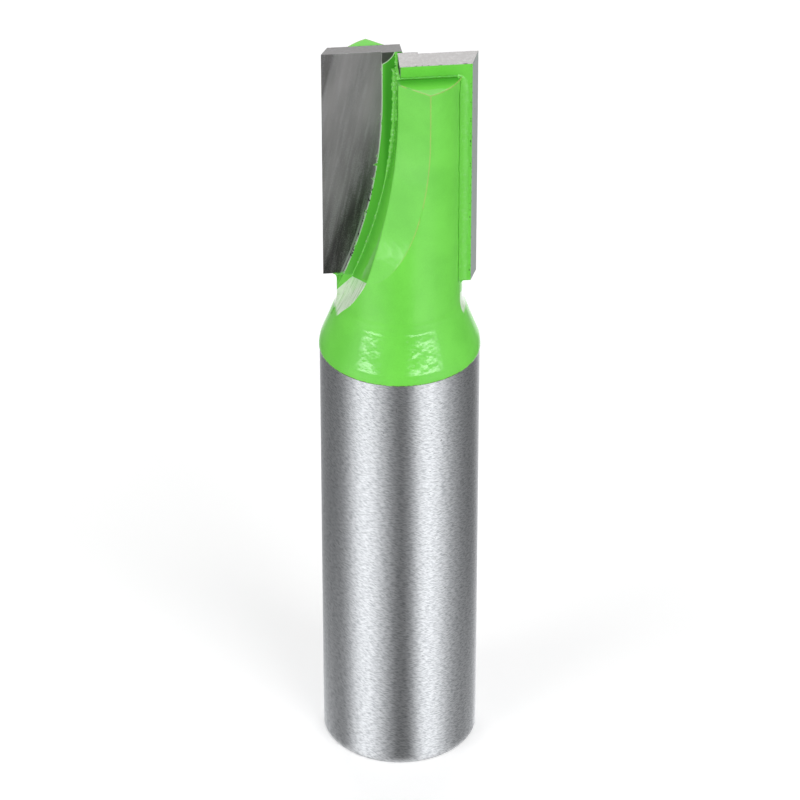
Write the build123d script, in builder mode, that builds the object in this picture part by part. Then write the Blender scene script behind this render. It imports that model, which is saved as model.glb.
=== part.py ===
from build123d import *
from math import cos, radians, sin, tan
import os

os.makedirs("parts", exist_ok=True)

# A straight two-flute router bit that stands on the flat end of its shank.
# Millimetres. +Z runs up the axis from the centre of that end, and the origin is there.
# The cutting edge of tip 1 is on the -X side and faces -Y. Tip 2 is the same, half a turn round.

# Turned blank. The drops are how far the body's end lies below that of the tips: a little
# more on the -Y side than on the +Y side.
shank_diameter = 12.7
shank_edge_break = 0.1
bare_length = 37.3
coat_step = 0.07
neck_diameter = 9.9
foot_length = 0.45
flare_angle = 21.0
neck_length = 2.32
flare_foot_round = 2.2
neck_round = 2.8
end_drops = (1.3, 1.1)

# Carbide tips. The centre of the arc at their inner end lies this far above the cutting end.
cutting_diameter = 12.0
tip_length = 19.6
tip_front = 0.1
tip_thickness = 1.72
tip_past_axis = 0.2
tip_back_radius = 55.0
tip_back_rise = 0.8

# Grinding of the tips. A drop is how far a wheel stops below the cutting end.
rake_depth = 0.2
rake_start = 1.36
rake_wheel_radius = 41.4
rake_wheel_drop = 3.95
edge_relief_angle = 22.0
end_relief_angle = 10.0

# Milling of the body. The flank on the -Y side lies a little farther out than the other.
floor_depth = 0.4
floor_cutter_radius = 40.0
floor_cutter_drop = 3.8
flank_azimuth = -130.0
flank_depths = (2.3, 2.0)
flank_cutter_radius = 33.0
flank_cutter_drop = 5.1

# Braze layer between a tip and its seat
braze_gap = 0.06

# Sizes that follow from those above
shank_radius = shank_diameter / 2
collar_radius = shank_radius + coat_step
neck_radius = neck_diameter / 2
cutting_radius = cutting_diameter / 2
flare_foot = bare_length + foot_length
flare_top = flare_foot + (collar_radius - neck_radius) / tan(radians(flare_angle))
tip_bottom = flare_top + neck_length
overall_length = tip_bottom + tip_length
body_height = overall_length - min(end_drops)
rake_face = tip_front + rake_depth
clear = 2 * cutting_diameter


def side_plane(azimuth):
    """Upright plane through the axis: local x points out toward the azimuth, local y is up."""
    outward = Vector(cos(radians(azimuth)), sin(radians(azimuth)), 0)
    return Plane(origin=(0, 0, 0), x_dir=outward, z_dir=outward.cross(Vector(0, 0, 1)))


def disc_pass(azimuth, depth, drop, radius, start, width):
    """Cut what a disc clears: its rim stands off the axis by depth, and it leaves past the end.

    Drop is how far its centre stops below the cutting end. Start is the plane of one side of
    the disc, and width is its thickness from there.
    """
    with BuildSketch(side_plane(azimuth).offset(start)) as swept:
        with Locations((depth + radius, overall_length - drop)):
            Circle(radius)
            Rectangle(2 * radius, overall_length, align=(Align.CENTER, Align.MIN))
    extrude(swept.sketch, amount=width, mode=Mode.SUBTRACT)


def plate(azimuth, grown, mode=Mode.ADD):
    """Unground carbide plate with a round inner end, grown on each face that meets its seat."""
    with BuildSketch(side_plane(azimuth).offset(tip_front)) as outline:
        with Locations((-clear, tip_bottom - grown)):
            Rectangle(clear + cutting_radius, clear, align=Align.MIN)
        with Locations((tip_back_radius - tip_past_axis, overall_length + tip_back_rise)):
            Circle(tip_back_radius + grown, mode=Mode.INTERSECT)
    extrude(outline.sketch, amount=tip_thickness + grown, mode=mode)


# Body: turned in one piece, then milled with a flute and a seat for each tip.
# The wheel that grinds the rake faces also takes a little off the neck just below them.
with BuildPart() as body:
    with BuildSketch(Plane.XZ) as profile:
        with BuildLine():
            Polyline(
                (0, 0),
                (shank_radius - shank_edge_break, 0),
                (shank_radius, shank_edge_break),
                (shank_radius, bare_length),
                (collar_radius, bare_length),
                (collar_radius, flare_foot),
                (neck_radius, flare_top),
                (neck_radius, body_height),
                (0, body_height),
                close=True,
            )
        make_face()
        corners = profile.vertices()
        fillet(corners.sort_by_distance((collar_radius, flare_foot))[0], flare_foot_round)
        corners = profile.vertices()
        fillet(corners.sort_by_distance((neck_radius, flare_top))[0], neck_round)
    revolve(axis=Axis.Z)
    for turn, flank_depth, end_drop in zip((0, 180), flank_depths, end_drops):
        with BuildSketch(side_plane(180 + turn)) as above:
            with Locations((0, overall_length - end_drop)):
                Rectangle(clear, clear, align=(Align.CENTER, Align.MIN))
        extrude(above.sketch, amount=-clear, mode=Mode.SUBTRACT)
        disc_pass(180 + turn, floor_depth, floor_cutter_drop, floor_cutter_radius,
                  tip_front, -clear)
        disc_pass(flank_azimuth + turn, flank_depth, flank_cutter_drop, flank_cutter_radius,
                  -clear, 2 * clear)
        disc_pass(180 + turn, rake_start, rake_wheel_drop, rake_wheel_radius,
                  tip_front, rake_depth)
        plate(180 + turn, braze_gap, Mode.SUBTRACT)
body.part.label = "body"
export_step(body.part, "parts/body.step")

# Carbide tip 1: the plate ground on its rake face, its edge and its end
with BuildPart() as carbide_tip_1:
    plate(180, 0)
    disc_pass(180, rake_start, rake_wheel_drop, rake_wheel_radius, tip_front, rake_depth)
    with BuildSketch(Plane.XY.offset(tip_bottom)) as edge_relief:
        with Locations(Location((-cutting_radius, rake_face), -edge_relief_angle)):
            Rectangle(clear, clear, align=(Align.MAX, Align.CENTER))
    extrude(amount=clear, mode=Mode.SUBTRACT)
    with BuildSketch(Plane.YZ.offset(-clear)) as end_relief:
        with Locations(Location((rake_face, overall_length), -end_relief_angle)):
            Rectangle(clear, clear, align=(Align.CENTER, Align.MIN))
    extrude(amount=2 * clear, mode=Mode.SUBTRACT)
carbide_tip_1.part.label = "carbide_tip_1"
export_step(carbide_tip_1.part, "parts/carbide_tip_1.step")

# Carbide tip 2: the same plate on the other side
with BuildPart() as carbide_tip_2:
    add(carbide_tip_1.part, rotation=(0, 0, 180))
carbide_tip_2.part.label = "carbide_tip_2"
export_step(carbide_tip_2.part, "parts/carbide_tip_2.step")


def braze(azimuth, end_drop):
    """Thin layer that fills the seat behind, inside and under a tip, level with the steel."""
    plate(azimuth, braze_gap)
    plate(azimuth, 0, Mode.SUBTRACT)
    Cylinder(neck_radius, overall_length - end_drop,
             align=(Align.CENTER, Align.CENTER, Align.MIN), mode=Mode.INTERSECT)


# Braze joint 1, between tip 1 and the +Y wing of the body
with BuildPart() as braze_1:
    braze(180, end_drops[1])
braze_1.part.label = "braze_1"
export_step(braze_1.part, "parts/braze_1.step")

# Braze joint 2, between tip 2 and the -Y wing of the body
with BuildPart() as braze_2:
    braze(0, end_drops[0])
braze_2.part.label = "braze_2"
export_step(braze_2.part, "parts/braze_2.step")
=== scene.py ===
from math import radians

import bmesh
import bpy
import numpy as np
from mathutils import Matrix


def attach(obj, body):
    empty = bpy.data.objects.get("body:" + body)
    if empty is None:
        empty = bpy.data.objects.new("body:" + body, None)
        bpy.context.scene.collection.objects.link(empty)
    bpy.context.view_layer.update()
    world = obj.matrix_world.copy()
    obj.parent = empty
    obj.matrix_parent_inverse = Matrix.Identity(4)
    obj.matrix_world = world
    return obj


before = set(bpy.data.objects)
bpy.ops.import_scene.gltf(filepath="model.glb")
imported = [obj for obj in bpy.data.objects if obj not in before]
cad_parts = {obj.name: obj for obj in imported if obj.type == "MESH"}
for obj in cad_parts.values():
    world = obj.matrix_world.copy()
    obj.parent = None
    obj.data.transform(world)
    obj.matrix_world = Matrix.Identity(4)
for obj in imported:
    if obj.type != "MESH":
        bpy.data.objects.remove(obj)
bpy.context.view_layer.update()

# Body: one piece of tool steel, turned and then milled with two flutes. Its shank is centreless
# ground and left bare. Everything above the shank is coated with glossy green paint, which
# is thin on sharp edges and has run thick into inside corners, where its darker green is
# painted shade.
paint_green = (0.196, 0.750, 0.084, 1)
# The next colour is both the coat's darker random tone and its painted shade
paint_dark_and_shaded = (0.040, 0.340, 0.015, 1)
paint_thin = (0.460, 0.600, 0.150, 1)
# The next two are pale: a painted highlight and reflection, and rubbed paint that carries a
# painted reflection
paint_pale_highlight = (0.780, 0.930, 0.720, 1)
paint_rubbed_and_reflecting = (0.480, 0.720, 0.400, 1)
paint_burnt = (0.110, 0.130, 0.030, 1)
steel_grey = (0.640, 0.652, 0.665, 1)
steel_dull = (0.350, 0.362, 0.380, 1)
steel_pit = (0.120, 0.125, 0.120, 1)
shank_radius = 6.35  # mm, as all sizes of the object here
paint_foot = 37.3  # height at which the coat ends on the shank
flute_depth, flute_radius, flute_centre = 0.40, 40.0, 59.70  # the disc that cut each flute
seat_wall = 1.88  # from the axis to the wall that a tip's back lies against


def add(tree, kind, inputs=None, **settings):
    """A new node of this kind. Inputs are numbers, colours or the sockets that feed them."""
    made = tree.nodes.new("ShaderNode" + kind)
    for name, value in settings.items():
        setattr(made, name, value)
    for name, value in (inputs or {}).items():
        if isinstance(value, bpy.types.NodeSocket):
            tree.links.new(value, made.inputs[name])
        else:
            made.inputs[name].default_value = value
    return made


def sums(tree, operation, *values):
    """The result of one Math node."""
    return add(tree, "Math", dict(enumerate(values)), operation=operation).outputs[0]


def times(tree, product, *factors):
    """All the values multiplied together."""
    for factor in factors:
        product = sums(tree, "MULTIPLY", product, factor)
    return product


def away(tree, value, mark):
    """How far value lies from mark, to either side."""
    return sums(tree, "ABSOLUTE", sums(tree, "SUBTRACT", value, mark))


def blend(tree, share, first, second, kind="RGBA"):
    """First where share is 0 and second where it is 1."""
    places = {"RGBA": (0, 6, 7, 2), "FLOAT": (0, 2, 3, 0)}[kind]
    made = add(tree, "Mix", dict(zip(places[:3], (share, first, second))), data_type=kind)
    return made.outputs[places[3]]


def ramp(tree, value, low, high, start=0.0, end=1.0):
    """Start below low and end above high, with a smooth rise between the two."""
    made = add(tree, "MapRange", {0: value, 1: low, 2: high, 3: start, 4: end},
               interpolation_type="SMOOTHSTEP")
    return made.outputs[0]


def millimetres(tree, turn=0.0):
    """Object coordinates in millimetres, turned about the axis by this many degrees."""
    place = add(tree, "TexCoord").outputs["Object"]
    return add(tree, "Mapping", {"Vector": place, "Scale": (1000, 1000, 1000),
                                 "Rotation": (0, 0, radians(turn))}).outputs[0]


def turned(tree, place, *degrees):
    """Place turned about X, Y and Z by these degrees."""
    return add(tree, "Mapping", {"Vector": place,
                                 "Rotation": tuple(map(radians, degrees))}).outputs[0]


def parts(tree, vector):
    """The X, Y and Z of a vector."""
    return add(tree, "SeparateXYZ", {0: vector}).outputs[:3]


def cross(tree, first, second):
    """The vector at right angles to both."""
    return add(tree, "VectorMath", {0: first, 1: second}, operation="CROSS_PRODUCT").outputs[0]


def grain(tree, place, scale, detail=2.0, stretch=(1, 1, 1), roughness=0.5):
    """Noise from 0 to 1, with scale in lumps per millimetre before the stretch."""
    bent = add(tree, "Mapping", {"Vector": place, "Scale": stretch}).outputs[0]
    return add(tree, "TexNoise", {"Vector": bent, "Scale": scale, "Detail": detail,
                                  "Roughness": roughness}).outputs["Fac"]


def specks(tree, place, scale, small, large, gathered):
    """Round specks, scale per millimetre: 1 out to small from a speck's centre, and 0 beyond
    large. Gathered is the scale of a slower noise, and its values where they start and end to
    show, so that they lie in patches."""
    spread = add(tree, "TexVoronoi", {"Vector": place, "Scale": scale}).outputs["Distance"]
    patches, low, high = gathered
    return times(tree, ramp(tree, spread, small, large, 1.0, 0.0),
                 ramp(tree, grain(tree, place, patches), low, high))


def disc_edge(tree, height, radius, centre):
    """How far a disc's rim stands off its centre line at this height: the square root of
    radius^2 - (centre - height)^2, and the whole radius above its centre."""
    fall = sums(tree, "MAXIMUM", sums(tree, "SUBTRACT", centre, height), 0.0)
    return sums(tree, "SQRT", sums(tree, "SUBTRACT", radius ** 2, times(tree, fall, fall)))


def bare_finish(name):
    """A new material and its empty node tree, with a Principled shader on its output."""
    made = bpy.data.materials.new(name)
    made.use_nodes = True
    tree = made.node_tree
    return made, tree, tree.nodes["Principled BSDF"]


def feed(tree, shader, **sockets):
    """Set or link the shader's sockets, named with _ for a space."""
    for name, value in sockets.items():
        socket = shader.inputs[name.replace("_", " ")]
        if isinstance(value, bpy.types.NodeSocket):
            tree.links.new(value, socket)
        else:
            socket.default_value = value


def bump(tree, height, depth, normal):
    """A normal raised by depth millimetres where height goes from 0 to 1."""
    return add(tree, "Bump", {"Height": height, "Distance": depth / 1000, "Strength": 1.0,
                              "Normal": normal}).outputs[0]


def soft_edges(tree, radius):
    """A normal that rounds sharp edges over this radius in millimetres."""
    return add(tree, "Bevel", {"Radius": radius / 1000}, samples=6).outputs[0]


def edge_share(tree, rounded):
    """How far the rounded normal leaves the real one: 0 on flat ground, more on an edge."""
    flat = add(tree, "NewGeometry").outputs["Normal"]
    same = add(tree, "VectorMath", {0: rounded, 1: flat}, operation="DOT_PRODUCT")
    return sums(tree, "SUBTRACT", 1.0, same.outputs["Value"])


def green_coat(tree, place, thick):
    """Colour of the coat in the flat, with darker random clouds and painted shade where thick is
    1.
    """
    cloud = grain(tree, place, 0.35, 2.0)
    fleck = grain(tree, place, 9.0, 3.0)
    deep = sums(tree, "ADD", times(tree, cloud, 0.7), times(tree, fleck, 0.3))
    deep = sums(tree, "MAXIMUM", ramp(tree, deep, 0.30, 0.70, 0.0, 0.22), thick)
    return blend(tree, deep, paint_green, paint_dark_and_shaded)


def orange_peel(tree, place, normal, coated):
    """The coat's surface, where coated is 1: soft ripples and a few small nibs of dust. It is
    roughest at the foot of the flare, where the coat has run down and set."""
    peel = grain(tree, place, 1.1, 2.0)
    nibs = specks(tree, place, 1.1, 0.02, 0.09, (0.8, 0.50, 0.60))
    at_foot = ramp(tree, parts(tree, place)[2], 38.2, 39.6, 0.38, 0.0)
    height = sums(tree, "ADD", sums(tree, "MULTIPLY_ADD", nibs, 0.35, peel),
                  times(tree, grain(tree, place, 3.2, 3.0), at_foot))
    return bump(tree, times(tree, height, coated), 0.015, normal)


painted, tree, shader = bare_finish("green_paint_on_steel")
place = millimetres(tree)
x, y, z = parts(tree, place)
coated = ramp(tree, sums(tree, "ADD", z, times(tree, grain(tree, place, 6.0, 3.0), 0.05)),
              paint_foot - 0.01, paint_foot + 0.04)
rounded = soft_edges(tree, 0.18)
edge = edge_share(tree, rounded)

# Painted shade, held in thick: darker on the body's end next to the crease with the back of the
# other tip, and on the flutes' arcs, more so deep in the flute. Inward is the distance behind the
# flute's other wall, and outward the one from the axis.
from_crease = sums(tree, "SUBTRACT", sums(tree, "ABSOLUTE", y), seat_wall)
crease_shade = times(tree, ramp(tree, from_crease, 0.1, 2.0, 0.85, 0.12),
                  ramp(tree, z, 62.10, 62.18))
inward = times(tree, sums(tree, "SIGN", x), y, -1.0)
outward = sums(tree, "ABSOLUTE", x)
arc = sums(tree, "SUBTRACT", flute_depth + flute_radius,
           disc_edge(tree, z, flute_radius, flute_centre))
off_arc = away(tree, outward, arc)
on_arc = times(tree, ramp(tree, off_arc, 0.02, 0.05, 1.0, 0.0),
               ramp(tree, inward, 0.11, 0.14, 1.0, 0.0))
flute_shade = times(tree, ramp(tree, inward, -3.0, 0.0, 0.20, 0.58), ramp(tree, z, 41.2, 43.0))
thick = sums(tree, "MAXIMUM", crease_shade, times(tree, on_arc, flute_shade))
colour = green_coat(tree, place, thick)

# Thin along the sharp edges above the neck
worn = times(tree, ramp(tree, edge, 0.008, 0.07), ramp(tree, z, 45.0, 51.0),
             ramp(tree, grain(tree, place, 2.0, 3.0), 0.20, 0.45),
             ramp(tree, off_arc, 0.10, 0.30))
colour = blend(tree, times(tree, worn, 0.9), colour, paint_thin)

# Pale where the flute runs out of the neck: rubbed paint with fine strokes, under a painted
# reflection of the white background below the tip, whose upper line is the tip's mirrored bottom
# edge. It lies on its arc below a line that falls inward, and beside the arc below a line that
# falls outward
top_fall, top_height = -0.445, 43.70
side_fall, side_height, side_out = -0.94, 43.67, 3.71
limit = sums(tree, "MULTIPLY_ADD", inward, top_fall, top_height)
below = times(tree, ramp(tree, sums(tree, "SUBTRACT", z, limit), -0.03, 0.03, 1.0, 0.0),
              ramp(tree, z, 40.75, 41.15))
limit = sums(tree, "MULTIPLY_ADD", sums(tree, "SUBTRACT", outward, side_out), side_fall,
             side_height)
beside = times(tree, ramp(tree, sums(tree, "SUBTRACT", z, limit), -0.03, 0.03, 1.0, 0.0),
               ramp(tree, outward, 3.70, 3.75), ramp(tree, inward, 0.05, 0.09),
               ramp(tree, inward, 1.8, 2.0, 1.0, 0.0))
rubbed_and_reflecting = times(tree, below, sums(tree, "MAXIMUM", on_arc, beside))
strokes = grain(tree, place, 7.0, 4.0, stretch=(0.07, 1, 0.07), roughness=0.65)
colour = blend(tree, rubbed_and_reflecting, colour,
               blend(tree, ramp(tree, strokes, 0.36, 0.56), paint_rubbed_and_reflecting, paint_pale_highlight))

# A thin brown line where the coat ends on the shank
foot_line = times(tree, ramp(tree, away(tree, z, paint_foot + 0.03), 0.01, 0.06, 1.0, 0.0),
                  ramp(tree, grain(tree, place, 3.0, 4.0), 0.42, 0.56, 0.15, 1.0))
colour = blend(tree, foot_line, colour, paint_burnt)

# Steel: rings left by the grinding wheel, two sets of short scratches that cross at a slant, a
# mottled grain and a few pits. The scratches are drawn on the shank unrolled from the -Y side.
rings = grain(tree, place, 22.0, 2.0, stretch=(0.03, 0.03, 1))
around = times(tree, sums(tree, "ARCTAN2", x, times(tree, y, -1.0)), shank_radius)
unrolled = add(tree, "CombineXYZ", {0: around, 1: z}).outputs[0]
leaning, level = (grain(tree, turned(tree, unrolled, 0, 0, slant), 9.0, 3.0,
                        stretch=(0.22, 1, 1), roughness=0.7) for slant in (32, -6))
scratches = times(tree, sums(tree, "ADD", leaning, level), 0.5)
mottle = grain(tree, place, 5.0, 4.0, stretch=(0.6, 0.6, 1), roughness=0.6)
metal = blend(tree, ramp(tree, scratches, 0.42, 0.62), steel_grey, steel_dull)
pits = times(tree, ramp(tree, grain(tree, place, 6.0, 2.0), 0.70, 0.73),
             ramp(tree, grain(tree, place, 0.6, 2.0), 0.45, 0.60))
metal = blend(tree, pits, metal, steel_pit)

# The rings smear reflections along the shank, so the tangent runs across them
facing = add(tree, "NewGeometry").outputs["Normal"]
across = cross(tree, facing, cross(tree, (0, 0, 1), place))
across = add(tree, "VectorMath", {0: across}, operation="NORMALIZE").outputs[0]
bare = sums(tree, "SUBTRACT", 1.0, coated)
rough = sums(tree, "ADD", sums(tree, "MULTIPLY_ADD", scratches, 0.5, rings), mottle)
peel = orange_peel(tree, place, rounded, coated)
normal = bump(tree, times(tree, rough, bare), 0.0060, peel)
normal = bump(tree, times(tree, strokes, rubbed_and_reflecting), 0.02, normal)
steel_blur = sums(tree, "MULTIPLY_ADD", rings, 0.10, 0.28)
feed(tree, shader, Base_Color=blend(tree, coated, metal, colour), Metallic=bare,
     Roughness=blend(tree, coated, steel_blur, 0.45, "FLOAT"), Specular_IOR_Level=0.0,
     Coat_Weight=coated, Coat_Roughness=0.05, Anisotropic=0.85, Tangent=across, Normal=normal,
     Coat_Normal=peel)
bpy.data.objects["body"].material_slots[0].material = painted

# Braze: silver solder that was melted in behind, inside and under each tip and holds it in its
# seat. The paint covers most of it, so it shows as a lumpy green line with paler spots.
braze_green = (0.165, 0.700, 0.085, 1)
braze_pale = (0.620, 0.790, 0.500, 1)

solder, tree, shader = bare_finish("painted_silver_solder")
lumps = grain(tree, millimetres(tree), 3.0, 3.0)
feed(tree, shader, Base_Color=blend(tree, ramp(tree, lumps, 0.5, 0.75), braze_green, braze_pale),
     Roughness=sums(tree, "MULTIPLY_ADD", lumps, 0.2, 0.15), Coat_Weight=0.6,
     Coat_Roughness=0.08, Normal=bump(tree, lumps, 0.05, soft_edges(tree, 0.05)))
for name in ("braze_1", "braze_2"):
    bpy.data.objects[name].material_slots[0].material = solder

# Carbide tips: pressed and sintered plates, brazed in and then ground on the rake face, the edge
# and the end. The faces that no wheel touched keep their paint.
carbide_ground = (0.495, 0.484, 0.480, 1)
carbide_shaded = (0.088, 0.086, 0.085, 1)
carbide_highlight = (0.600, 0.605, 0.610, 1)
carbide_relief_lit = (0.610, 0.680, 0.640, 1)
carbide_raw = (0.160, 0.164, 0.154, 1)
speck_black = (0.020, 0.022, 0.020, 1)
rake_line, wheel_radius, wheel_centre = 1.36, 41.4, 59.55  # the wheel that ground the rake face
patch_out, patch_height, patch_radius = 2.076, 64.184, 1.81  # where the coat has come away
back_from, back_full = 1.810, 1.818  # a tip's back face lies 1.82 behind the axis
corner_out = 5.28  # the back's corner with the ground edge
cutting_radius = 6.0
wedge_lean, wedge_start = 0.25, -14.85  # a dark wedge reaches lean * z + start in from the edge
marks_lean = -11  # degrees


def ground_carbide(name, turn):
    """Carbide, ground bare but for the faces that still hold paint; turn is 0 or 180. The paint
    ends at x = -rake_line on the front face, and below wheel_centre at the wheel's arc."""
    made, tree, shader = bare_finish(name)
    place = millimetres(tree, turn)
    x, y, z = parts(tree, place)
    rounded = soft_edges(tree, 0.03)
    faces_out, _, faces_up = parts(tree, add(tree, "NewGeometry").outputs["True Normal"])
    ground_end = ramp(tree, faces_up, 0.5, 0.6)
    relief = ramp(tree, sums(tree, "ABSOLUTE", faces_out), 0.80, 0.90)
    front = ramp(tree, y, 0.35, 0.40, 1.0, 0.0)
    back = ramp(tree, y, back_from, back_full)

    # Distance past the wheel's arc on the rake face, more than 0 where the paint is kept
    kept = sums(tree, "SUBTRACT", sums(tree, "ADD", x, rake_line + wheel_radius),
                disc_edge(tree, z, wheel_radius, wheel_centre))
    jag = ramp(tree, grain(tree, place, 1.6, 4.0, roughness=0.65), 0.55, 0.75, 0.0, 0.35)
    jagged = sums(tree, "ADD", kept, jag)
    held = times(tree, ramp(tree, jagged, -0.01, 0.02), front)

    # A round bare patch on the front face by the cutting end. A painted pale highlight runs along
    # its edge and along the paint's ragged edge
    patch_x = sums(tree, "ADD", x, patch_out)
    patch_z = sums(tree, "SUBTRACT", z, patch_height)
    patch = sums(tree, "SQRT", sums(tree, "ADD", times(tree, patch_x, patch_x),
                                    times(tree, patch_z, patch_z)))
    patch = sums(tree, "SUBTRACT", patch, patch_radius)
    raw = times(tree, ramp(tree, patch, -0.02, 0.02, 1.0, 0.0), held)
    rim_highlight = sums(tree, "MINIMUM", sums(tree, "ABSOLUTE", jagged), sums(tree, "ABSOLUTE", patch))
    rim_highlight = times(tree, ramp(tree, rim_highlight, 0.03, 0.09, 0.75, 0.0), front)

    # The inner end shows bare by the cutting end, and the back is painted all over
    inner = ramp(tree, x, 0.10, 0.15)
    held = sums(tree, "MAXIMUM", held, times(tree, inner, ramp(tree, z, 62.3, 62.5, 1.0, 0.0)))
    raw = sums(tree, "MAXIMUM", raw, times(tree, inner, ramp(tree, z, 62.3, 62.5)))
    held = sums(tree, "MAXIMUM", held, back)
    raw = times(tree, raw, sums(tree, "SUBTRACT", 1.0, ground_end))
    held = times(tree, held, sums(tree, "SUBTRACT", 1.0, sums(tree, "MAXIMUM", raw, ground_end)))
    bare = sums(tree, "SUBTRACT", 1.0, held)

    # The paint, darkened as painted shade on the front face toward the axis, with black chips low
    # down along its ragged edge and nicks in the back's corner
    green = green_coat(tree, place, times(tree, front, ramp(tree, x, -1.4, -0.9, 0.45, 0.84)))
    green = blend(tree, rim_highlight, green, paint_pale_highlight)
    chips = times(tree, ramp(tree, sums(tree, "ABSOLUTE", jagged), 0.05, 0.10, 1.0, 0.0),
                  ramp(tree, grain(tree, place, 3.0, 3.0), 0.58, 0.62),
                  times(tree, front, ramp(tree, z, 52.0, 54.0, 1.0, 0.0)))
    green = blend(tree, chips, green, speck_black)
    nicks = times(tree, ramp(tree, away(tree, x, -corner_out), 0.01, 0.06, 1.0, 0.0),
                  ramp(tree, grain(tree, place, 4.0, 4.0, roughness=0.7), 0.57, 0.62), back)
    green = blend(tree, nicks, green, speck_black)

    # Wheel marks run steeply from the upper right to the lower left of the rake face
    leaning = turned(tree, place, 0, marks_lean, 0)
    marks = grain(tree, leaning, 4.0, 4.0, stretch=(1, 1, 0.07))
    broad = grain(tree, leaning, 0.7, 2.0, stretch=(1, 1, 0.25))
    fine = grain(tree, place, 14.0, 3.0)
    tone = sums(tree, "ADD", times(tree, marks, 0.50), times(tree, fine, 0.50))

    # Painted shade, standing in for the grind's dark reflections: darker low down, in a band
    # beside the arc and in a wedge by the edge's top, with broad random tone added
    band = ramp(tree, away(tree, kept, -0.95), 0.25, 1.5, 0.68, 0.0)
    low = times(tree, sums(tree, "ADD", band, 0.35), ramp(tree, z, 47.0, 59.0, 1.0, 0.0))
    wedge = sums(tree, "SUBTRACT", sums(tree, "ADD", x, cutting_radius),
                 sums(tree, "MULTIPLY_ADD", z, wedge_lean, wedge_start))
    wedge = times(tree, ramp(tree, wedge, -0.12, 0.12, 0.35, 0.0), ramp(tree, z, 59.3, 60.0))
    shade_and_tone = sums(tree, "ADD", sums(tree, "MAXIMUM", low, wedge),
                 ramp(tree, broad, 0.30, 0.70, 0.0, 0.26))
    shade_and_tone = times(tree, shade_and_tone, ramp(tree, y, 0.36, 0.45, 1.0, 0.25))
    # The ground ends are darkened too, as painted shade
    shade_and_tone = sums(tree, "MAXIMUM", shade_and_tone, times(tree, ground_end, 0.73))
    metal = blend(tree, shade_and_tone, carbide_ground, carbide_shaded)

    # Painted glint low down along the arc, and painted highlights on the marks where they catch
    # the light
    glint = times(tree, ramp(tree, away(tree, kept, -0.16), 0.04, 0.12, 0.6, 0.0),
                  ramp(tree, z, 48.0, 51.0, 1.0, 0.0))
    metal = blend(tree, glint, metal, carbide_highlight)
    # Painted light: the relief faces are a lighter, greener copy of the same grind
    metal = blend(tree, relief, metal, carbide_relief_lit)
    streaks = times(tree, ramp(tree, tone, 0.44, 0.66, 0.0, 0.46),
                    ramp(tree, ground_end, 0, 1, 1.0, 0.3),
                    ramp(tree, shade_and_tone, 0.5, 1.1, 1.0, 0.6))
    metal = blend(tree, streaks, metal, carbide_highlight)

    # Black specks along the corner where the wheels met the painted back, and a few elsewhere
    corner = times(tree, ramp(tree, y, 1.70, 1.78), ramp(tree, y, 1.812, 1.816, 1.0, 0.0),
                   ramp(tree, grain(tree, place, 2.4, 3.0), 0.55, 0.59))
    metal = blend(tree, sums(tree, "MAXIMUM", chips, corner), metal, speck_black)
    dots = specks(tree, place, 1.5, 0.04, 0.07, (0.7, 0.50, 0.56))
    metal = blend(tree, dots, metal, speck_black)
    metal = blend(tree, raw, metal, carbide_raw)

    grind_blur = sums(tree, "MULTIPLY_ADD", fine, 0.15, 0.30)
    feed(tree, shader, Base_Color=blend(tree, held, metal, green), Metallic=bare,
         Roughness=blend(tree, held, grind_blur, 0.4, "FLOAT"), Specular_IOR_Level=0.0,
         Coat_Weight=held, Coat_Roughness=0.08, Coat_Normal=rounded,
         Normal=bump(tree, times(tree, tone, bare), 0.004, rounded))
    return made


for name, turn in (("carbide_tip_1", 0), ("carbide_tip_2", 180)):
    bpy.data.objects[name].material_slots[0].material = ground_carbide("ground_" + name, turn)

# Paint fillets: where the coat and the solder under it have run into the inside corners round
# each tip and set there as a smooth hollow bead. They are part of the coat. All are given where
# they lie by tip 1's flute and tip 2's seat, and then turned half round for the others.
flute_wall = 0.10  # y of the flute's flat wall
behind_tip = 1.83  # in the braze just behind a tip's back
wing_side = 4.60  # how far out the body's wing ends there
past_axis = 0.195  # how far a tip reaches past the axis
tip_top, tip_bottom = 63.535, 43.9
inside_neck = 4.94  # just under the neck's surface
bend_out, bend_down = 0.42, 0.45  # of the seat's fillet, where it turns from the end to the side
way_up = (0, 0, 1)


def bead_coat(name, thick, pale_highlight_share):
    """Glossy paint that has run and set: darker as painted shade where thick is 1, with a share
    of painted pale highlights.
    """
    made, tree, shader = bare_finish(name)
    place = millimetres(tree)
    spots = ramp(tree, grain(tree, place, 4.0, 3.0), 0.52, 0.66, 0.0, pale_highlight_share)
    normal = add(tree, "NewGeometry").outputs["Normal"]
    normal = bump(tree, grain(tree, place, 2.5, 2.0), 0.03, normal)
    feed(tree, shader, Base_Color=blend(tree, spots, green_coat(tree, place, thick), paint_pale_highlight),
         Roughness=0.45, Specular_IOR_Level=0.0, Coat_Weight=1.0, Coat_Roughness=0.08,
         Normal=normal, Coat_Normal=normal)
    return made


# The second number is painted shade in the corner, the third the share of painted highlights
bead_paint = bead_coat("paint_bead", 0.05, 0.2)
fillet_paint = bead_coat("paint_fillet", 0.15, 0.05)
crease_paint = bead_coat("paint_in_crease", 0.6, 0.0)


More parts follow.
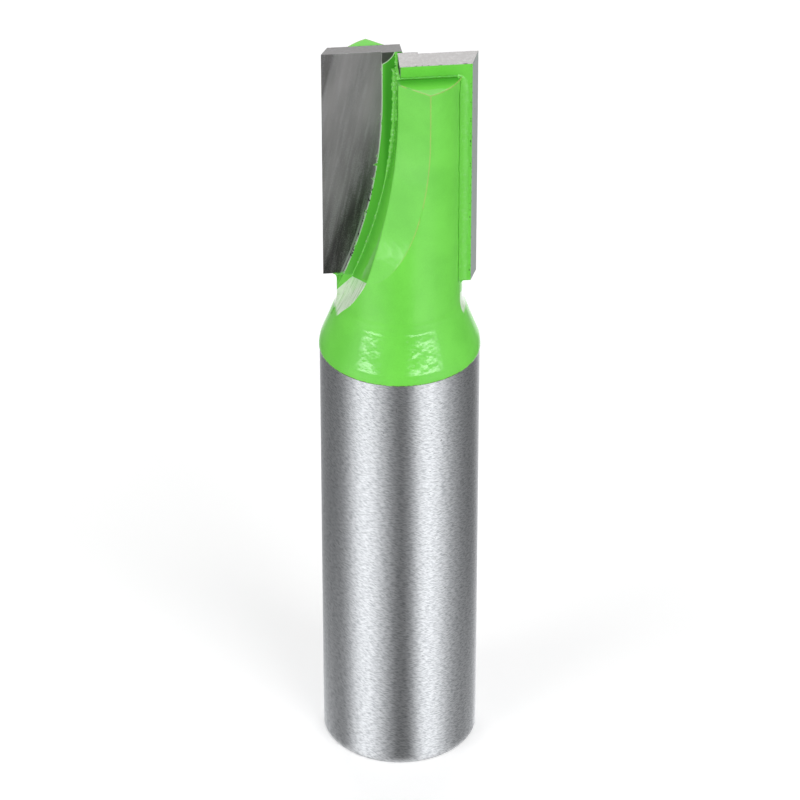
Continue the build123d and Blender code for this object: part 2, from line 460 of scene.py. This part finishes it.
def corner_bead(name, corner, first, second, width, swell=None, material=bead_paint):
    """Bead in an inside corner, swept along it. Across it, with t from 0 to 1, a point is the
    corner + width * ((1 - t)^2 * first + t^2 * second), which is tangent to both walls, raised
    by swell * 4t(1 - t) between them. The back edge lies just inside the solids, and each end
    is drawn together to almost a point."""
    sunk, end_size = 0.04, 0.02
    t = np.linspace(0, 1, 9)[None, :, None]
    first, second = (np.broadcast_to(np.asarray(way, float), corner.shape)
                     for way in (first, second))
    width = np.broadcast_to(np.asarray(width, float), (len(corner), 2))
    swell = np.zeros(len(corner)) if swell is None else swell
    one, two = first[:, None] * width[:, None, :1], second[:, None] * width[:, None, 1:]
    lift = (first + second) / np.linalg.norm(first + second, axis=1)[:, None]
    ring = corner[:, None] + (1 - t) ** 2 * one + t ** 2 * two
    ring = ring + lift[:, None] * (swell[:, None, None] * 4 * t * (1 - t))
    inside = corner - sunk * (first + second)
    ring = np.concatenate([ring, inside[:, None]], 1)
    for end in (0, -1):
        ring[end] = ring[end] * end_size + inside[end] * (1 - end_size)
    rows, around = ring.shape[:2]
    at = np.arange(rows * around).reshape(rows, around)
    beside = np.roll(at, -1, 1)
    faces = np.stack([at[:-1], beside[:-1], beside[1:], at[1:]], -1).reshape(-1, 4).tolist()
    faces += [at[0][::-1].tolist(), at[-1].tolist()]
    shell = bpy.data.meshes.new(name)
    shell.from_pydata((ring.reshape(-1, 3) / 1000).tolist(), [], faces)
    shell.shade_smooth()
    shell.set_sharp_from_angle(angle=radians(50))
    shell.materials.append(material)
    made = bpy.data.objects.new(name, shell)
    bpy.context.scene.collection.objects.link(made)
    work = bmesh.new()
    work.from_mesh(shell)
    bmesh.ops.recalc_face_normals(work, faces=work.faces)
    work.to_mesh(shell)
    work.free()
    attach(made, "root")


def waves(along, seed, pitch):
    """Smooth unevenness, mostly from -1 to 1: the mean of five sines of rising frequency with
    fixed random phases, times 1.6."""
    phases = np.random.default_rng(seed).uniform(0, 2 * np.pi, 5)
    pitches = pitch / np.array([1.0, 1.7, 2.6, 3.9, 5.3])
    return np.sin(2 * np.pi * along[:, None] / pitches + phases).mean(1) * 1.6


def line(x, y, z):
    """Points of a path from its three coordinates, each an array or one number."""
    return np.stack(np.broadcast_arrays(x, y, z), -1)


for turn, (half, end_drop) in enumerate(((1, 1.3), (-1, 1.1))):
    spin = np.array([half, half, 1.0])
    minus_x, minus_y = np.array([-1, 0, 0]) * spin, np.array([0, -1, 0]) * spin
    top = tip_top - end_drop  # of the body

    # In the flute's inside corner, from the cutting end down its arc: lumpy in its upper half
    z = np.linspace(62.15, 43.5, 260)
    x = np.sqrt(flute_radius ** 2 - np.clip(flute_centre - z, 0, None) ** 2)
    x = x - (flute_depth + flute_radius)
    lumpy = np.interp(z, [52.5, 54.5], [0.0, 1.0])
    thick = np.interp(z, [43.5, 52, 54, 62], [0.05, 0.06, 0.14, 0.20])
    thick = thick * (1 + 0.35 * lumpy * waves(z, 3 + turn, 2.4))
    corner_bead(f"flute_paint_bead_{turn + 1}", line(x, flute_wall, z) * spin, minus_x, minus_y,
                np.stack([thick, thick], -1),
                0.02 + lumpy * 0.05 * (1 + waves(z, 13 + turn, 1.3)))

    # Over the body's end, in the crease by the back of the other tip
    x = np.linspace(-0.30, 4.45, 120)
    thick = 0.14 * (1 + 0.35 * waves(x, 33 + turn, 2.2))
    corner_bead(f"crease_paint_{2 - turn}", line(x, -behind_tip, top) * spin, way_up, minus_y,
                np.stack([0.8 * thick, thick], -1), material=crease_paint)

    # From there round a corner and down beside the wing, where the wall turns to face outward
    bend = np.linspace(np.pi / 2, 0, 16)
    down = np.linspace(top - bend_down, tip_bottom + 0.05, 180)[1:]
    x = np.concatenate([wing_side - bend_out + bend_out * np.cos(bend), 0 * down + wing_side])
    z = np.concatenate([top - bend_down + bend_down * np.sin(bend), down])
    share = np.concatenate([np.linspace(0, 1, 16), 0 * down + 1])[:, None]
    along_wing = (1 - share) * np.array([0, -1, 0]) + share * np.array([-0.38, -0.925, 0])
    along_tip = np.stack([share[:, 0], 0 * z, 1 - share[:, 0]], -1)
    length = np.concatenate([[0], np.cumsum(np.hypot(np.diff(x), np.diff(z)))])
    thick = np.interp(length, [0, 0.5, 1.2], [0.20, 0.42, 0.52])
    thick = thick * (1 + 0.10 * waves(length, 23 + turn, 5.0))
    corner_bead(f"seat_paint_fillet_{2 - turn}", line(x, -behind_tip, z) * spin,
                along_tip * spin, along_wing * spin, np.stack([thick, 1.2 * thick], -1),
                material=fillet_paint)

    # Under the tip, where it stands on its seat
    angle = np.radians(np.linspace(-21.0, -1.5, 24))
    radial = line(np.cos(angle), np.sin(angle), 0)
    corner_bead(f"lower_paint_fillet_{2 - turn}",
                (inside_neck * radial + np.array([0, 0, tip_bottom])) * spin, radial * spin,
                (0, 0, -1), (0.32, 0.7), material=fillet_paint)

    # By the axis: up the corner between one tip's front and the other's inner end, and along
    # the foot of that inner end
    z = np.linspace(63.50, 62.20, 60)
    thick = 1 + 0.25 * waves(z, 43 + turn, 0.9)
    corner_bead(f"axis_paint_fin_{turn + 1}", line(-past_axis, flute_wall, z) * spin,
                minus_x, minus_y, np.stack([0.17 * thick, 0.50 * thick], -1))
    y = np.linspace(0.05, -1.95, 60)
    lumps = 1 + 0.4 * waves(y, 53 + turn, 1.1)
    corner_bead(f"inner_end_bead_{2 - turn}", line(-past_axis, y, top) * spin, way_up, minus_x,
                np.stack([0.28 * lumps, 0.22 * lumps], -1), 0.04 * lumps)

# Studio: a white floor that runs out of sight, a white world and four soft lamps. Sizes here are
# in metres. Mirrors see the floor and the world as plain white paper.
floor_white = (0.90, 0.90, 0.90, 1)
white = (1, 1, 1, 1)
floor_half = 3.0
floor_glow = 0.20  # for the camera alone, so that the floor shows white
world_light = 0.40
lamp_distance = 0.6
lamp_aim = 0.04  # height of the point that the lamps face

floor_paper, tree, shader = bare_finish("white_floor")
seen = add(tree, "LightPath").outputs
mirrored = sums(tree, "MAXIMUM", seen["Is Glossy Ray"], seen["Is Transmission Ray"])
feed(tree, shader, Base_Color=floor_white, Roughness=0.9, Specular_IOR_Level=0.0,
     Emission_Color=white, Emission_Strength=times(tree, seen["Is Camera Ray"], floor_glow))
shown = add(tree, "Emission", {"Color": white, "Strength": 1.0}).outputs[0]
mixed = add(tree, "MixShader", {0: mirrored, 1: shader.outputs[0], 2: shown}).outputs[0]
tree.links.new(mixed, tree.nodes["Material Output"].inputs["Surface"])
sheet = bpy.data.meshes.new("floor")
sheet.from_pydata([(a * floor_half, b * floor_half, 0)
                   for a, b in ((-1, -1), (1, -1), (1, 1), (-1, 1))], [], [(0, 1, 2, 3)])
sheet.materials.append(floor_paper)
made = bpy.data.objects.new("floor", sheet)
bpy.context.scene.collection.objects.link(made)

world = bpy.data.worlds.new("studio")
bpy.context.scene.world = world
world.use_nodes = True
tree = world.node_tree
seen = add(tree, "LightPath").outputs
direct = sums(tree, "MAXIMUM", seen["Is Camera Ray"],
              sums(tree, "MAXIMUM", seen["Is Glossy Ray"], seen["Is Transmission Ray"]))
strength = blend(tree, direct, world_light, 1.0, "FLOAT")
tree.links.new(strength, tree.nodes["Background"].inputs["Strength"])
tree.nodes["Background"].inputs["Color"].default_value = white


def soft_lamp(name, azimuth, elevation, size, share):
    """An area lamp that faces the bit, bright enough to light a white card there to share."""
    lamp = bpy.data.lights.new(name, "AREA")
    lamp.shape = "RECTANGLE"
    lamp.size, lamp.size_y = size
    lamp.energy = share * np.pi ** 2 * lamp_distance ** 2
    made = bpy.data.objects.new(name, lamp)
    a, e = radians(azimuth), radians(elevation)
    made.location = (lamp_distance * np.cos(e) * np.cos(a), lamp_distance * np.cos(e) * np.sin(a),
                     lamp_aim + lamp_distance * np.sin(e))
    made.rotation_euler = (radians(90 - elevation), 0, radians(azimuth + 90))
    bpy.context.scene.collection.objects.link(made)


soft_lamp("left_lamp", -152, 35, (0.35, 0.5), 0.33)
soft_lamp("right_lamp", -58, 35, (0.35, 0.5), 0.46)
soft_lamp("top_lamp", -90, 80, (0.5, 0.5), 0.06)
soft_lamp("back_lamp", 84, 52, (0.30, 0.30), 0.24)

# Glowing surround: paper for the bright steel to mirror, as a photographer curls it round bright
# metal. It lies on the floor round the side that faces the camera and turns up into a wall
# farther out, and only reflections see it.
camera_azimuth = radians(-96)
camera_height = radians(33)
flare_slope = radians(21)
flare_foot, flare_to_wall = 0.038, 0.154
shank_gap, floor_gap, wall_foot = 0.0003, 0.0001, 0.001  # of the paper's nearest and lowest rows
floor_rows, wall_rows = 17, 60
wall_reach, wall_top = 0.160, 0.120
wall_gain = 0.9
paper_light = (0.98, 0.988, 1, 1)

# Grid: a point of the shank at an angle from the camera's side, and from there out by reach
# along twice that angle, the way its mirror image lies, and up by rise
angle = np.radians(np.linspace(-88, 88, 120))
reach = np.concatenate([[shank_gap], np.linspace(0.010, wall_reach, floor_rows - 1),
                        np.full(wall_rows, wall_reach)])
rise = np.concatenate([np.full(floor_rows, floor_gap),
                       np.linspace(wall_foot, wall_top, wall_rows)])


def by_angle(degrees, values, angles=angle):
    """Values between these angles, as a column of the grid."""
    return np.interp(angles, np.radians(degrees), values)[:, None]


# Two bright bands, left and right of a dark middle
bands = np.array([(-88, 1.0), (-78, 0.36), (-60, 0.23), (-48, 0.27), (-42, 0.44), (-33, 1.28),
                  (-27, 1.56), (-20, 1.30), (-8, 0.50), (-2, 0.19), (6, 0.17), (10.5, 0.50),
                  (16.5, 1.36), (22, 1.50), (28, 1.34), (38, 0.68), (50, 0.29), (62, 0.20),
                  (70, 0.27), (78, 0.75), (88, 1.1)])
glow = by_angle(*bands.T)

# They fade and brighten along the floor, and the wall is even, but for its bright ends
gain = np.interp(reach, [0, 0.052, 0.060, 0.072, 0.095, 0.130],
                 [1.0, 1.25, 1.0, 0.72, 0.65, 1.1])[None, :]
gain = np.where(rise < wall_foot, gain, wall_gain)
gain = np.maximum(gain, by_angle([64, 76], [0.0, 1.4], np.abs(angle)))

# Two strips of light stand in the wall, at the height that the foot of the flare mirrors. The
# sine of the mirrored ray's rise is twice the cosine between the flare's normal and the camera's
# direction times the sine of the slope, less the sine of the camera's height.
facing = (np.cos(flare_slope) * np.cos(camera_height) * np.cos(angle)
          + np.sin(flare_slope) * np.sin(camera_height))
lifted = 2 * facing * np.sin(flare_slope) - np.sin(camera_height)
strip_height = flare_foot + flare_to_wall * lifted / np.sqrt(1 - lifted ** 2)
strips = by_angle([-32, -27, -20, -13, 4, 10, 24, 32], [0, 1, 1, 0, 0, 1, 1, 0])
strips = strips * np.interp(rise[None, :] - strip_height[:, None],
                            [-0.012, -0.005, -0.001, 0.0025], [0.0, 8.0, 8.0, 0.0])

# A little more light close to the shank's sides
near = by_angle([45, 70], [0.0, 0.5], np.abs(angle)) * np.interp(reach, [0, 0.030], [1, 0])

out = shank_radius / 1000 * np.exp(1j * (angle + camera_azimuth))[:, None]
out = out + np.exp(1j * (2 * angle + camera_azimuth))[:, None] * reach
points = np.stack([out.real, out.imag, np.broadcast_to(rise, out.shape)], -1).reshape(-1, 3)
at = np.arange(out.size).reshape(out.shape)
faces = np.stack([at[:-1, :-1], at[1:, :-1], at[1:, 1:], at[:-1, 1:]], -1).reshape(-1, 4)
sheet = bpy.data.meshes.new("glowing_surround")
sheet.from_pydata(points.tolist(), [], faces.tolist())
held = sheet.attributes.new("glow", "FLOAT", "POINT")
held.data.foreach_set("value", (glow * gain + strips + near).ravel().astype(np.float32))
paper, tree, shader = bare_finish("glowing_surround")
shown = add(tree, "Attribute", attribute_name="glow").outputs["Fac"]
light = add(tree, "Emission", {"Color": paper_light, "Strength": shown}).outputs[0]
tree.links.new(light, tree.nodes["Material Output"].inputs["Surface"])
sheet.materials.append(paper)
made = bpy.data.objects.new("glowing_surround", sheet)
bpy.context.scene.collection.objects.link(made)
made.visible_camera = made.visible_diffuse = made.visible_shadow = False
made.visible_transmission = False

# Camera: above and in front of the bit, with a long lens, so that the shank's sides stay almost
# parallel. The shift and the angles set the bit where the photograph has it.
camera = bpy.data.cameras.new("camera")
camera.lens, camera.sensor_width, camera.clip_start = 202.4, 36, 0.01
camera.shift_x = 0.0004
eye = bpy.data.objects.new("camera", camera)
eye.location = (-0.03136, -0.29836, 0.2303)
eye.rotation_euler = (radians(56.51), 0, radians(-6.0))
bpy.context.scene.collection.objects.link(eye)
bpy.context.scene.camera = eye
bpy.context.scene.view_settings.view_transform = "Standard"
